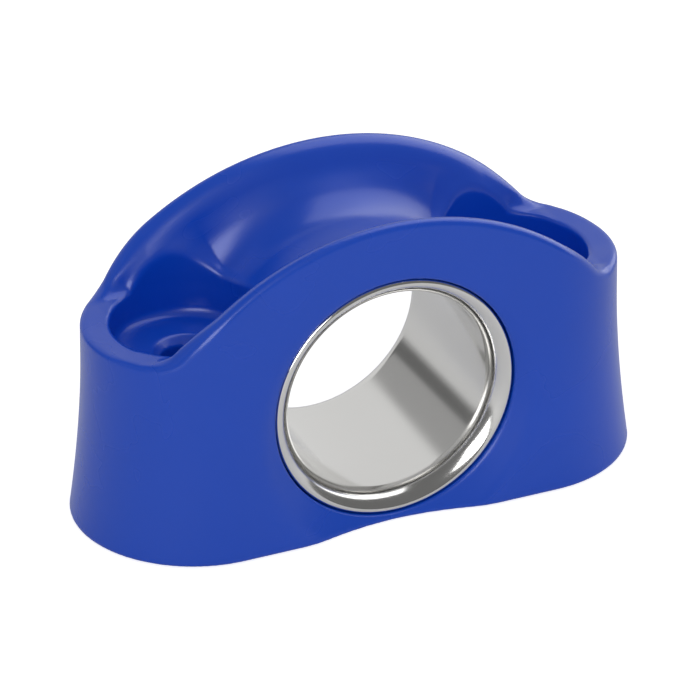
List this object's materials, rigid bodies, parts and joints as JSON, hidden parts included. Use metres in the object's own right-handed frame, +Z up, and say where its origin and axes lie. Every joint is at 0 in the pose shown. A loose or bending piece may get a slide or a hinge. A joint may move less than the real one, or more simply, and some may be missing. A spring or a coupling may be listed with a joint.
{
  "type": "lined bullseye fairlead",
  "caption": "Saddle-shaped plastic fairlead with two arched flanges, a flush stainless rope liner through its middle and a recessed screw pocket at each end.",
  "frame": {"origin": "centre of the footprint, on the deck plane", "axes": "+X along the saddle from one screw pocket to the other, +Y along the rope bore, +Z up from the deck"},
  "size_m": [0.0636, 0.0268, 0.0349],
  "materials": {
    "blue_nylon": "smooth moulded, soft gloss",
    "polished_stainless": "polished, faint turning marks"
  },
  "bodies": {
    "root": {"fairlead_body": "blue_nylon", "stainless_liner": "polished_stainless"}
  },
  "joints": []
}
